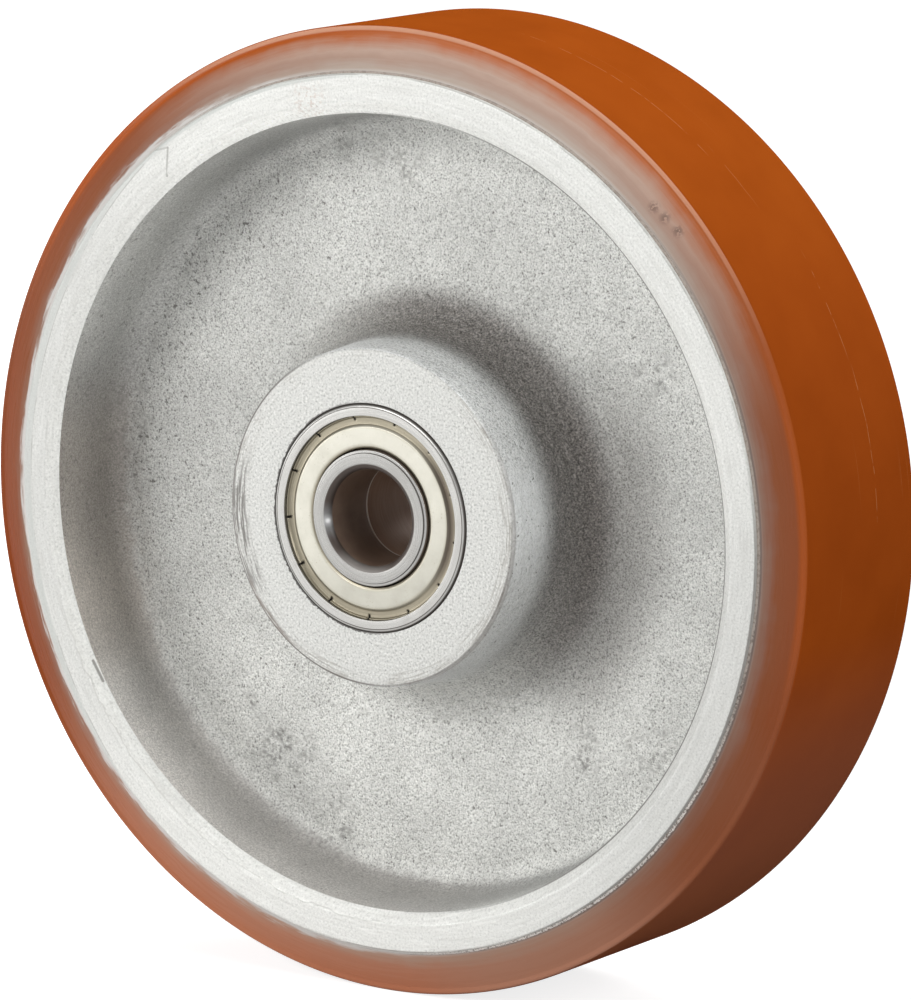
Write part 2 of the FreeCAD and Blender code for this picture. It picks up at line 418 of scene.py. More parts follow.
def section(corners, arc_step, closed=True):
    """Points along an outline of (radius, along, rounding, spacing, finish) corners, and the finish after each."""
    places = [Vector(corner[:2]) for corner in corners]
    arcs = []
    for index, corner in enumerate(corners):
        following = places[(index + 1) % len(places)]
        arcs.append(rounded_corner(places[index - 1], places[index], following, corner[2], arc_step))
    points, finishes = [], []
    for index, arc in enumerate(arcs):
        spacing, finish = corners[index][3:]
        for step, point in enumerate(arc):
            points.append(point)
            finishes.append(corners[index - 1][4] if step < len(arc) // 2 else finish)
        if not closed and index == len(arcs) - 1:
            break
        run = arcs[(index + 1) % len(arcs)][0] - arc[-1]
        pieces = max(1, round(run.length / spacing))
        for step in range(1, pieces):
            points.append(arc[-1] + run * (step / pieces))
            finishes.append(finish)
    return np.array([point[:] for point in points]), np.array(finishes)


# %% [markdown]
# Turning lays the section's points out on circles with numpy and joins them with four-sided faces. Edges sharper
# than SHARP_EDGE keep a crease, and all others are shaded smooth. The small helpers after it mirror a section,
# turn a finished piece over for the rear of the wheel, and put a piece in the place of its solid.

# %% Turning
SHARP_EDGE = math.radians(40)


def turned(name, corners, segments, materials, arc_step=12.0, closed=True, start=0.0, roughen=None):
    """An object turned about the axle from a cross-section in millimetres."""
    outline, finishes = section(corners, arc_step, closed)
    turn = np.radians(start) + np.arange(segments) * 2 * math.pi / segments

    def swept(outwards, along):
        """Carries a value out from the axle and one along it around the whole turn."""
        return np.stack((np.outer(outwards, np.cos(turn)), np.repeat(along, segments, axis=1),
                         np.outer(outwards, np.sin(turn))), axis=-1)

    spots = swept(outline[:, 0], outline[:, 1:])
    if roughen:
        ahead = np.roll(outline, -1, axis=0) - np.roll(outline, 1, axis=0)
        ahead /= np.linalg.norm(ahead, axis=1)[:, None]
        spots += swept(ahead[:, 1], -ahead[:, :1]) * roughen(spots, outline)[:, :, None]
    rows = np.arange(len(outline) if closed else len(outline) - 1)
    this, other = rows[:, None] * segments, ((rows + 1) % len(outline))[:, None] * segments
    left, right = np.arange(segments)[None, :], np.roll(np.arange(segments), -1)[None, :]
    faces = np.stack((this + left, other + left, other + right, this + right), axis=-1).reshape(-1, 4)
    mesh = bpy.data.meshes.new(name)
    mesh.from_pydata((spots.reshape(-1, 3) * MM).tolist(), [], faces.tolist())
    mesh.polygons.foreach_set("material_index", np.repeat(finishes[rows], segments))
    mesh.shade_smooth()
    mesh.set_sharp_from_angle(angle=SHARP_EDGE)
    for material in materials:
        mesh.materials.append(material)
    piece = bpy.data.objects.new(name, mesh)
    bpy.context.scene.collection.objects.link(piece)
    print(name, "has", len(outline), "points in its section and", len(faces), "faces")
    return piece


def both_sides(front_corners):
    """A section that is alike on both sides, from the corners of its front half."""
    mirrored = []
    for index in range(len(front_corners) - 1, -1, -1):
        radius, along, rounding = front_corners[index][:3]
        mirrored.append((radius, -along, rounding, *front_corners[index - 1][3:]))
    return front_corners + mirrored


def turned_over(piece, name):
    """A copy that faces the other way along the axle."""
    other = piece.copy()
    other.data = piece.data.copy()
    other.name = other.data.name = name
    other.data.transform(Matrix.Rotation(math.pi, 4, "Z"))
    bpy.context.scene.collection.objects.link(other)
    return other


def stand_for(piece, node, body):
    """Shows a piece in place of the solid of the same form, turning with its body."""
    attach(piece, body)
    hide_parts(node)


def both_stand_for(front, node, body):
    """Shows a front piece, and a copy turned over for the rear, in place of their two solids."""
    rear = turned_over(front, front.name.replace("front", "rear"))
    stand_for(front, "front_" + node, body)
    stand_for(rear, "rear_" + node, body)


# %% [markdown]
# ## The silver paint
#
# The iron casting carries aluminium paint, and it shows two characters. In the recess the paint lies over sand
# cast metal, so it is speckled with fine grain, pits and a few dirty patches. We make that with noise at three
# sizes that drives colour and bump together, strongest on web and hub and weaker up the wall of the rim, where
# the sand mould was smoother and the coat is a little brown. The wall is also painted grey and darker as shade,
# most on the left, and lighter towards the rim face and at the upper and lower left. The web is painted lighter
# towards the bottom and darker on the left, and the hub's flank is painted brightest, with light and shade painted
# on it too. The flakes in such paint lie every which way and scatter light like a matt coat, so only a small
# share of the shader is metallic.

# %% Paint on cast metal
WEB_FACE = 4.5
DIRTY_PATCHES = (
    (172.5, 78.5, 12), (236, 68, 14), (250, 76, 12), (319, 71, 13), (30, 62, 9), (97, 71, 10), (107, 78, 9),
    (308, 62, 10), (225.5, 66, 3))
cast = Finish("cast_silver")
fine = cast.grain(0.40, 2.0, 0.6)
middle = cast.grain(0.95, 3.0, 0.6)
cast.colour = cast.colours(
    fine, (0.30, (0.28, 0.278, 0.272)), (0.5, (0.39, 0.389, 0.381)), (0.7, (0.53, 0.53, 0.518)))
# Painted light and shade on the wall: lighter towards the rim face, darker on the left, lighter at the upper and
# lower left.
cast.tint(cast.sideways(13.0, 23.0, 1.0, 1.25))
cast.shade((176, 0.93, 1.0, 0.78), (142, 0.9, 1.0, 1.22), (228, 0.6, 0.98, 1.16), (221, 0.96, 1.0, 1.18))
cast.tint((0.995, 0.96, 0.95), cast.towards(222, 0.35, 0.75))
cast.tint((1.0, 0.955, 0.91), cast.towards(188, 0.9, 0.99))
shaded_wall_coat = cast.colour
cast.colour = cast.colours(
    fine, (0.29, (0.21, 0.207, 0.197)), (0.41, (0.51, 0.51, 0.495)), (0.53, (0.665, 0.665, 0.649)),
    (0.71, (0.86, 0.86, 0.84)))
# Painted light and shade on the web: lighter towards the bottom, darker on the left.
cast.shade((270, 0.1, 1.0, 1.13), (160, 0.6, 0.98, 0.88))
wall_foot = cast.total(cast.depth, cast.sway(cast.grain(2.4), 0.8), cast.towards(172, 0.7, 1.0))
on_wall = cast.times(cast.band(70.0, 78.0), cast.level(wall_foot, 4.6, 6.6))
on_web = cast.maths("MULTIPLY_ADD", on_wall, -0.4, 1.0)
cast.lay(shaded_wall_coat, on_wall)
# The flank is painted brightest, with a bluish painted highlight on the right and painted shade at the lower right.
on_flank = cast.times(cast.sideways(9.0, 16.0), cast.band(46.0, 40.0))
cast.lay(cast.colours(
    fine, (0.28, (0.38, 0.387, 0.392)), (0.5, (0.80, 0.812, 0.818)), (0.72, (0.97, 0.98, 0.99))), on_flank)
cast.lay((0.95, 0.97, 0.99), on_flank, cast.towards(2, 0.9, 1.0, 0.0, 0.55))
cast.lay((0.45, 0.45, 0.445), on_flank, cast.towards(322, 0.75, 1.0, 0.0, 0.4))
more_pits = cast.times(cast.towards(158, 0.7, 1.0, 0.0, 0.06), cast.band(56.0, 74.0))
cast.lay((0.15, 0.143, 0.132), cast.level(cast.maths("SUBTRACT", middle, more_pits), 0.37, 0.27), on_web)
cast.tint(cast.spread(cast.grain(14.0, 3.0, 0.55), 0.92, 1.06))
cast.tint((1.0, 1.0, 0.98))
dirty = cast.largest(*(cast.spot(angle, radius, -WEB_FACE, size) for angle, radius, size in DIRTY_PATCHES))
dirt_cloud = cast.level(cast.grain(4.0, 2.0), 0.40, 0.65, 0.0, 0.75)
dirt_grain = cast.level(cast.grain(0.8, 3.0, 0.7), 0.49, 0.56)
cast.lay((0.10, 0.092, 0.084), dirty, dirt_cloud, dirt_grain)
print("paint on cast metal, with", len(DIRTY_PATCHES), "dirty patches")

# %% [markdown]
# The shade around the hub is painted in: a soft painted shadow on the web to the right of the hub, painted shade in
# the root of the hub, darkest on the side away from the key lamp, and dark lines along the edge where the hub's
# flank meets its face, with painted shade on the left. It takes its grain from the same fine noise as the paint, so
# it looks as if it lay in the paint's own pits. The last lines of the cell turn the noise into bump, coarse lumps
# first and fine sand on top of them.

# %% Painted shade in the hub's root
# Painted shadow on the web to the right of the hub.
shaded_web = cast.times(cast.band(64.0, 47.0), cast.towards(350, 0.6, 0.98))
cast.lay(cast.colours(fine, (0.35, (0.13, 0.118, 0.105)), (0.65, (0.30, 0.28, 0.26))),
         shaded_web, cast.sideways(11.0, 6.0, 0.0, 0.6))
# Painted shade in the root of the hub, darkest on the right.
shaded_root = cast.times(cast.sideways(19.0, 11.5), cast.band(47.5, 41.0))
cast.lay(cast.colours(
    fine, (0.32, (0.035, 0.028, 0.024)), (0.5, (0.10, 0.084, 0.073)), (0.68, (0.27, 0.235, 0.21))),
    shaded_root, cast.towards(38, -0.65, 0.8), 0.82)
# Dark lines along the edge where flank meets face: darker on the right, and painted shade on the left.
flank_edge = cast.band(36.0, 35.4)
cast.lay((0.27, 0.24, 0.22), cast.sideways(25.8, 26.3), flank_edge, cast.towards(340, 0.3, 0.95, 0.0, 0.55))
cast.lay((0.10, 0.09, 0.08), cast.sideways(25.9, 26.2), flank_edge, cast.towards(190, 0.0, 0.6, 0.0, 0.85))
lumpy = cast.bump(cast.times(cast.grain(1.8, 2.0), cast.band(60.0, 46.0)), 0.7)
pitted = cast.bump(cast.times(middle, on_web), 0.36, lumpy)
CAST_SILVER = cast.done(
    Metallic=0.06,
    Roughness=cast.spread(fine, 0.5, 0.36),
    Normal=cast.bump(cast.times(fine, on_web), 0.22, pitted),
)

# %% [markdown]
# The rim and hub faces were turned on a lathe before painting, so there the paint is smooth and almost white.
# What shows is the tool's fine rings through the paint and a brushed unevenness. Noise that is drawn out along
# circles gives both; squeezing the coordinates around the axle does that without the seam that an angle would
# leave.

# %% Paint on turned metal
smooth = Finish("turned_silver")
brushed = smooth.grain(1.3, 3.0, 0.6, smooth.rings(1.3, 14.0, 86.0))
ridges = smooth.grain(0.55, 2.0, 0.6, smooth.rings(0.55, 7.0, 86.0))
dust = smooth.grain(0.5, 2.0, 0.6)
smooth.colour = smooth.colours(
    dust, (0.29, (0.54, 0.54, 0.525)), (0.43, (0.69, 0.691, 0.675)), (0.57, (0.745, 0.746, 0.73)),
    (0.71, (0.84, 0.84, 0.825)))
smooth.lay((0.60, 0.598, 0.578), smooth.level(brushed, 0.55, 0.32, 0.0, 0.3))
smooth.lay((0.56, 0.558, 0.542), smooth.level(ridges, 0.45, 0.30, 0.0, 0.4))
smooth.lay((0.86, 0.86, 0.845), smooth.level(ridges, 0.56, 0.70, 0.0, 0.4))
print("paint on turned metal, with rings and dust")

# %% [markdown]
# On the rim, light and shade are painted into the coat: greyer on the left and at the right, whiter at the bottom
# and on the bevel. Three arcs of its edges carry painted shade lines: a dark one inside on the right, where the
# bevel meets the wall, a dark one outside at the lower right, and a pale grey one at the top. Each is a narrow band
# that fades out around the axle.

# %% Painted light and shade on the rim
BEVEL_RADIUS = 84.7
# Painted light and shade: greyer on the left and at the right, whiter at the bottom, and a lighter bevel at the
# upper left and right.
smooth.shade((172, 0.55, 0.98, 0.83), (340, 0.8, 1.0, 0.89), (266, 0.7, 1.0, 1.12))
painted_bevel_light = smooth.total(smooth.towards(150, 0.1, 0.7, 0.0, 0.32), smooth.towards(40, 0.5, 0.9, 0.0, 0.13))
on_bevel = smooth.band(BEVEL_RADIUS + 0.2, BEVEL_RADIUS - 0.2)
smooth.tint(smooth.maths("MULTIPLY_ADD", on_bevel, painted_bevel_light, 1.0))
# Painted shade lines along three arcs of the rim's edges.
shaded_lips = (
    ((82.75, 82.55), (5, -0.1, 0.6, 0.0, 0.9), (0.15, 0.143, 0.135)),
    ((90.05, 90.25), (335, 0.75, 0.97, 0.0, 0.7), (0.12, 0.10, 0.09)),
    ((89.3, 89.8), (112, 0.92, 0.99, 0.0, 0.65), (0.46, 0.48, 0.465)),
)
for band, arc, colour in shaded_lips:
    smooth.lay(colour, smooth.band(*band), smooth.towards(*arc))
print("rim coat, with", len(shaded_lips), "shaded lips")

# %% [markdown]
# The hub's face is duller and has been handled more. Dark flecks and a worn, scored band lie near its outer edge,
# with four fine grooves, a dark line along the edge on the left and at the lower right, and a patch on the left
# that is rubbed down to bare iron. Around the bearing the paint ends in a broken line, which we get by letting
# noise shift the radius at which it stops.

# %% Coat and wear on the hub
PAINT_STOPS = 23.45
on_hub = smooth.band(40.0, 39.0)
smooth.lay(smooth.colours(
    dust, (0.28, (0.30, 0.30, 0.292)), (0.42, (0.575, 0.576, 0.562)), (0.57, (0.68, 0.681, 0.665)),
    (0.72, (0.83, 0.83, 0.815))), on_hub)
smooth.lay((0.26, 0.25, 0.235), smooth.level(smooth.grain(0.55, 2.0, 0.6), 0.35, 0.28), on_hub, 0.6)
score = smooth.grain(0.5, 3.0, 0.65, smooth.rings(0.5, 6.0, 34.0))
wear_cloud = smooth.times(smooth.level(smooth.grain(8.0, 2.0), 0.38, 0.6, 0.25, 1.0),
                          smooth.towards(92, 0.6, 0.97, 1.0, 0.25))
near_edge = smooth.times(smooth.band(30.5, 34.2), on_hub)
smooth.lay((0.30, 0.28, 0.255), near_edge, smooth.level(score, 0.50, 0.62), wear_cloud, 0.75)
for groove_radius, strength in ((34.0, 0.6), (33.4, 0.45), (32.5, 0.35), (31.2, 0.2)):
    groove = smooth.level(smooth.off(smooth.radius, groove_radius), 0.15, 0.04)
    smooth.lay((0.33, 0.31, 0.285), groove, wear_cloud, strength)
# A dark line along the hub's edge, on the left and at the lower right.
dark_edge_arcs = smooth.largest(smooth.towards(198, -0.1, 0.55, 0.15, 0.9), smooth.towards(318, 0.5, 0.95, 0.0, 0.65))
smooth.lay((0.13, 0.115, 0.105), on_hub, smooth.band(34.15, 34.5), dark_edge_arcs)
rubbed = smooth.times(smooth.band(29.8, 32.0), on_hub, smooth.towards(188, 0.86, 0.98))
smooth.lay((0.17, 0.16, 0.15), rubbed, smooth.level(score, 0.44, 0.56, 0.1, 0.95))
bare_edge = smooth.times(smooth.band(33.2, 34.1), on_hub, smooth.towards(222, 0.95, 0.99))
smooth.lay((0.20, 0.17, 0.15), bare_edge, smooth.level(score, 0.40, 0.55, 0.25, 0.9))
broken_edge = smooth.maths("MULTIPLY_ADD", smooth.grain(0.7, 2.0), 0.9, PAINT_STOPS)
past_paint = smooth.level(smooth.maths("SUBTRACT", smooth.radius, broken_edge), 0.12, 0.0)
smooth.lay((0.05, 0.044, 0.040), past_paint, smooth.towards(190, -0.3, 0.4), 0.92)
print("hub coat, worn and scored")

# %% [markdown]
# On the left of the rim the primer reached in past the joint before the paint went on, so a band outside a thin,
# broken line is a little greyer. Its inner edge is a circle that sits off the axle, which we get by letting its
# radius shrink towards one side. A few cracks cross the rim, and rusty specks show through at the top of the
# bevel.

# %% Marks on the rim
RIM_FACE = 25.0
PRIMER_REACH = 90.3
CRACKS = (
    ((125.7, 88.9, -RIM_FACE), (128.3, 84.4, -24.8), 0.7, 0.6),
    ((127.7, 90.3, -RIM_FACE), (125.7, 88.9, -RIM_FACE), 0.6, 0.4),
    ((207.5, 82.9, -23.6), (210.8, 82.7, -23.5), 0.9, 0.85),
)
past_line = smooth.total(smooth.maths("SUBTRACT", smooth.radius, PRIMER_REACH),
                         smooth.towards(175, 0.5, 1.0, 0.0, 1.9))
smooth.lay((0.46, 0.48, 0.465), smooth.level(past_line, -0.2, 0.4), 0.55)
hair_crack = smooth.level(smooth.maths("ABSOLUTE", past_line), 0.20, 0.05)
smooth.lay((0.25, 0.24, 0.225), hair_crack, smooth.level(brushed, 0.45, 0.55), 0.5)
wavy = smooth.total(smooth.radius, smooth.sway(smooth.grain(4.0, 2.0), 0.9))
bevel_line = smooth.level(smooth.off(wavy, BEVEL_RADIUS), 0.24, 0.06, 0.0, 0.45)
smooth.lay((0.42, 0.41, 0.39), bevel_line, smooth.towards(238, 0.7, 0.9))
for first, last, width, strength in CRACKS:
    smooth.lay((0.22, 0.21, 0.195), smooth.stroke(first, last, width), strength)
rust_grain = smooth.level(smooth.grain(0.8, 3.0, 0.65), 0.5, 0.62)
smooth.lay((0.42, 0.27, 0.20), smooth.spot(101, 85.4, -RIM_FACE, 6.5), rust_grain, 0.45)
smooth.tint((1.0, 1.0, 0.98))
TURNED_SILVER = smooth.done(
    Metallic=0.08,
    Roughness=smooth.spread(brushed, 0.5, 0.4),
    Normal=smooth.bump(dust, 0.05, smooth.bump(ridges, 0.05, smooth.bump(brushed, 0.06))),
)

# %% [markdown]
# The seat of each bearing was bored after painting. The bare iron there has gone dark with oil, and it shows only
# as the dark line around the bearing, between the seat and the rounded edge of the outer ring.

# %% Bored seat
bored = Finish("bored_iron")
bored_lines = bored.grain(0.3, 2.0, 0.6, bored.rings(0.3, 12.0, 23.0))
bored.colour = bored.colours(bored_lines, (0.35, (0.055, 0.050, 0.045)), (0.65, (0.105, 0.095, 0.085)))
BORED_IRON = bored.done(
    Metallic=0.2,
    Roughness=bored.spread(bored_lines, 0.6, 0.45),
    Specular_IOR_Level=0.25,
    Normal=bored.bump(bored_lines, 0.01),
)

# %% [markdown]
# ## The casting
#
# Rim, web and hub are one piece of iron, alike front and rear. Its section follows the solid model corner by
# corner. Sand cast skin is never flat, so in the recess we push the points in and out by a tenth of a
# millimetre with noise a few millimetres wide; grain finer than the mesh is left to the bump above. Turned
# faces stay true.

# %% Casting
SEAT_RADIUS, SEAT_LEDGE, SEAT_CHAMFER, LEDGE_BORE = 23.5, 13.5, 0.2, 20.5
HUB_RADIUS, WALL_RADIUS, RIM_RADIUS = 34.9, 82.3, 90.5
WALL_EDGE = 23.2
DRAFT = math.tan(math.radians(4))
WALL_FOOT = WALL_RADIUS - DRAFT * (WALL_EDGE - WEB_FACE)
HUB_FOOT = HUB_RADIUS + DRAFT * (HUB_FACE - WEB_FACE)
SKIN_END, SKIN_FADE = 22.8, 4.0
SKIN_WAVES = ((0.09, 5.0), (0.07, 1.9))
CAST, TURNED, SEAT = 0, 1, 2
casting_corners = both_sides([
    (LEDGE_BORE, -SEAT_LEDGE, 0.0, 2.0, SEAT),
    (SEAT_RADIUS, -SEAT_LEDGE, 0.0, 4.5, SEAT),
    (SEAT_RADIUS, -HUB_FACE + SEAT_CHAMFER, 0.03, 0.5, SEAT),
    (SEAT_RADIUS + SEAT_CHAMFER, -HUB_FACE, 0.05, 2.0, TURNED),
    (HUB_RADIUS, -HUB_FACE, 0.8, 1.4, CAST),
    (HUB_FOOT, -WEB_FACE, 12.0, 0.95, CAST),
    (WALL_FOOT, -WEB_FACE, 5.0, 1.4, CAST),
    (WALL_RADIUS, -WALL_EDGE, 0.1, 0.8, TURNED),
    (BEVEL_RADIUS, -RIM_FACE, 0.8, 1.3, TURNED),
    (RIM_RADIUS, -RIM_FACE, 0.6, 12.0, TURNED),
])


def cast_skin(spots, outline):
    """How far each point of the casting is pushed out, in millimetres: only between hub and rim."""
    push = np.zeros(spots.shape[:2])
    radius, depth = outline[:, 0], np.abs(outline[:, 1])
    for row in np.flatnonzero((radius > HUB_RADIUS - 0.1) & (radius < WALL_RADIUS + 0.7) & (depth < SKIN_END)):
        fade = min(1.0, (SKIN_END - depth[row]) / SKIN_FADE)
        for column, spot in enumerate(spots[row]):
            push[row, column] = fade * sum(high * noise.noise(Vector(spot) / wide) for high, wide in SKIN_WAVES)
    return push


casting = turned("casting", casting_corners, 540, (CAST_SILVER, TURNED_SILVER, BORED_IRON), 9.0, roughen=cast_skin)
stand_for(casting, "wheel_centre", "wheel")

# %% [markdown]
# ## The tread
#
# The tread is polyurethane, cast around the rim and bonded to it. The running surface was turned to size and the
# sides keep the skin of the mould, so they are two finishes. Seen on its running surface it is a deep even amber,
# painted browner towards the lower right and redder at the right as shade. Hair-fine circles run around it, and a
# few pale scratches make broken arcs. Each is a thin line at one place along the axle, and slow noise lets it
# wander.

# %% Running surface
ARCS = ((64, 14, -2.2), (46, 3, 0.6), (28, 6, 5.6), (10, 10, 6.0))
ARC_FADE = 0.004
amber = Finish("amber_running")
amber_cloud = amber.grain(22.0, 3.0, 0.55)
amber.colour = amber.colours(
    amber_cloud, (0.3, (0.305, 0.061, 0.0062)), (0.5, (0.33, 0.067, 0.0070)), (0.7, (0.35, 0.073, 0.0078)))
# Painted shade: browner towards the lower right and redder at the right.
amber.lay((0.17, 0.11, 0.085), amber.towards(310, 0.75, 1.0, 0.0, 0.4))
amber.tint((0.97, 0.91, 0.97), amber.towards(355, 0.6, 0.95))
hair_line = amber.level(amber.grain(0.25, 1.0, 0.5, amber.hoops(0.004)), 0.74, 0.80)
amber.lay((0.55, 0.22, 0.08), hair_line, amber.level(amber.grain(34.0, 2.0), 0.5, 0.6), 0.35)
wandering = amber.total(amber.along, amber.sway(amber.grain(13.0), 0.8))
broken = amber.level(amber.grain(2.5), 0.40, 0.52)
for middle_angle, half_angle, arc_along in ARCS:
    reach = math.cos(math.radians(half_angle))
    arc = amber.level(amber.off(wandering, arc_along), 0.16, 0.05, 0.0, 0.36)
    amber.lay((0.62, 0.30, 0.13), arc, amber.towards(middle_angle, reach - ARC_FADE, reach + ARC_FADE), broken)
AMBER_RUNNING = amber.done(
    Roughness=amber.spread(amber_cloud, 0.42, 0.34),
    Specular_IOR_Level=0.0,
    Normal=amber.bump(amber.grain(0.5, 2.0), 0.012),
)

# %% [markdown]
# The sides are thinner: greyer towards the rim, where primer and paint dust lie on them, and a clear amber towards
# the edge. Their light is painted in: pale painted reflections at the top, the right and the upper left, pale
# painted light at the bottom and lower right, a painted glow along the orange edge at left and right, a painted
# highlight along the edge at the top, and painted shade at the lower right and on the left. True translucency
# would be slow to render, so this is painted as ramps from the rim outwards that fade into each other around the
# axle. Noise shifts the radius they read, which leaves soft streaks.

# %% Sides of the tread
side = Finish("amber_side")
side_streaks = side.grain(1.1, 3.0, 0.6, side.rings(1.1, 22.0, 95.0))
drift = side.total(side.sway(side.grain(9.0, 3.0, 0.6), 1.3), side.sway(side_streaks, 1.1))
from_rim = side.maths("MULTIPLY_ADD", side.total(side.radius, drift), 0.1, -9.0)
side.colour = side.colours(
    from_rim, (0.12, (0.27, 0.165, 0.125)), (0.30, (0.25, 0.100, 0.060)), (0.45, (0.243, 0.060, 0.014)),
    (0.75, (0.25, 0.051, 0.006)))
# Painted reflections and light: grey haze at the right and upper left, pale at the bottom and lower right, pale at
# the top.
for angle in (12, 142):
    side.lay((0.34, 0.24, 0.19), side.towards(angle, 0.6, 1.0, 0.0, 0.12))
side.lay(side.colours(
    from_rim, (0.2, (0.45, 0.285, 0.21)), (0.45, (0.48, 0.209, 0.127)), (0.85, (0.50, 0.19, 0.102))),
    side.towards(265, 0.48, 1.0, 0.0, 0.95))
side.lay((0.40, 0.24, 0.175), side.towards(296, 0.92, 1.0, 0.0, 0.42))
side.lay(side.colours(
    from_rim, (0.15, (0.43, 0.345, 0.29)), (0.36, (0.40, 0.268, 0.21)), (0.50, (0.47, 0.33, 0.262)),
    (0.66, (0.45, 0.24, 0.165)), (0.84, (0.44, 0.12, 0.035))), side.towards(74, 0.47, 1.0))
# Painted glow on the orange edge, a painted highlight at the top edge, painted shade at the lower right and on the
# left.
painted_edge_glow = side.largest(side.towards(122, 0.78, 0.98), side.towards(6, 0.9, 1.0, 0.0, 0.7))
side.lay((0.40, 0.08, 0.008), side.band(97.6, 98.7), painted_edge_glow)
side.lay((0.60, 0.29, 0.18), side.band(98.75, 99.15), side.towards(78, 0.55, 0.93))
side.lay((0.25, 0.11, 0.066), side.towards(322, 0.94, 0.995, 0.0, 0.4))
side.tint((0.95, 0.85, 0.72), side.towards(182, 0.85, 1.0))
scuff_grain = side.level(side.grain(0.7, 2.0), 0.42, 0.52)
for angle, radius in ((46.2, 94.0), (44.3, 94.4), (42.0, 95.0)):
    side.lay((0.16, 0.10, 0.08), side.spot(angle, radius, -22.5, 1.8), scuff_grain, 0.8)
ragged = side.grain(1.1, 4.0, 0.6, side.rings(1.1, 8.0, 91.0))
fringe = side.times(side.towards(190, -0.1, 0.5, 0.0, 1.4), side.spread(ragged, 0.1, 1.2))
over_paint = side.level(side.maths("SUBTRACT", side.radius, fringe), 91.7, 90.3, 0.0, 0.85)
side.lay((0.66, 0.65, 0.63), over_paint)
# A painted shade line beside the bond on the right.
side.lay((0.10, 0.06, 0.045), side.band(91.45, 91.2), side.towards(345, 0.3, 0.9, 0.0, 0.55))
SIDE_AMBER = side.done(
    Roughness=side.spread(side_streaks, 0.32, 0.24),
    Specular_IOR_Level=0.08,
    Normal=side.bump(side_streaks, 0.03),
)

# %% [markdown]
# The ring itself has a plain section. Its sides lean in from the rim to a narrow flat edge, and both corners of
# that edge are rounded, which gives the thin bright line between the side and the running surface.

# %% Tread
EDGE_RADIUS, EDGE_FACE, BOND_FACE = 98.6, 21.0, 24.2
RUNNING, SIDE = 0, 1
tread_corners = both_sides([
    (RIM_RADIUS, -BOND_FACE, 0.0, 0.8, SIDE),
    (EDGE_RADIUS, -EDGE_FACE, 0.6, 0.4, SIDE),
    (TREAD_RADIUS, -EDGE_FACE, 0.7, 3.5, RUNNING),
])
tread = turned("tread_ring", tread_corners, 720, (AMBER_RUNNING, SIDE_AMBER))
stand_for(tread, "tread", "wheel")

# %% [markdown]
# ## The bond line
#
# Where the tread meets the rim, a little of the bonding primer has been squeezed out. On the left and below it is
# painted over, at the top and right it is a dark hair, and at the lower right it stands out as a ragged, twisted
# bead. It could be drawn in the tread's colour, but as a thin turned ring of its own it also casts the small
# shadow that the photograph shows. The same roughening as on the casting makes it ragged, only much finer.

# %% Bond line
primer = Finish("dried_primer")
primer_grain = primer.grain(0.7, 3.0, 0.65)
primer.colour = primer.colours(primer_grain, (0.36, (0.09, 0.075, 0.066)), (0.56, (0.50, 0.435, 0.39)))
primer.lay((0.36, 0.31, 0.27), primer.towards(65, -0.2, 0.6, 0.0, 0.75))
primer.lay((0.62, 0.605, 0.58), primer.largest(
    primer.towards(205, -0.25, 0.45, 0.0, 0.9), primer.towards(275, 0.6, 0.9, 0.0, 0.8)))
thread = primer.colours(primer.grain(0.45, 2.0), (0.38, (0.22, 0.175, 0.15)), (0.52, (0.95, 0.89, 0.84)))
primer.lay(thread, primer.towards(308, 0.82, 0.97, 0.0, 0.85))
DRIED_PRIMER = primer.done(
    Roughness=primer.spread(primer_grain, 0.75, 0.5),
    Specular_IOR_Level=0.2,
    Normal=primer.bump(primer_grain, 0.05),
)
RAGGED_ANGLE = math.radians(318)
TWISTS = 470


def squeezed_out(spots, outline):
    """How far the bead swells, in millimetres: a ragged thread at the lower right and a hair elsewhere."""
    push = np.zeros(spots.shape[:2])
    for row, (radius, along) in enumerate(outline):
        for column, spot in enumerate(spots[row]):
            turn = math.atan2(spot[2], spot[0])
            ragged_part = max(0.0, math.cos(turn - RAGGED_ANGLE)) ** 6
            twist = math.sin(turn * TWISTS + radius * 9.0)
            push[row, column] = ragged_part * (0.07 * twist + 0.10 * noise.noise(Vector(spot) / 1.4))
            push[row, column] += 0.05 * noise.noise(Vector(spot) / 2.3) - 0.05
    return push


BEAD = ((90.40, -24.50), (90.72, -24.42), (91.00, -24.22), (91.05, -23.95), (90.35, -24.05))
bead_corners = [(*place, 0.08, 0.5, 0) for place in BEAD]
front_bond = turned("front_bond_line", bead_corners, 2160, (DRIED_PRIMER,), 45.0, roughen=squeezed_out)
for bond in (front_bond, turned_over(front_bond, "rear_bond_line")):
    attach(bond, "wheel")

# %% [markdown]
# ## The bearings
#
# Each bearing is a standard shielded ball bearing: two ground steel rings, a row of balls in a pressed cage, and a
# thin shield crimped into each face of the outer ring. The rings and shields show in the photograph, so we turn
# them again with the rounded corners of real ones. The rings' faces are ground, which leaves fine circles. The
# bore carries a film of brown preservative oil. The rounding at its mouth is painted dark as shade and dark
# reflection, with a painted reflection at the bottom and a painted glint on the left. Painted shade darkens the
# rounded outer edge, the groove under the shield and the step of the inner ring, and the same share also dulls
# the shader there.

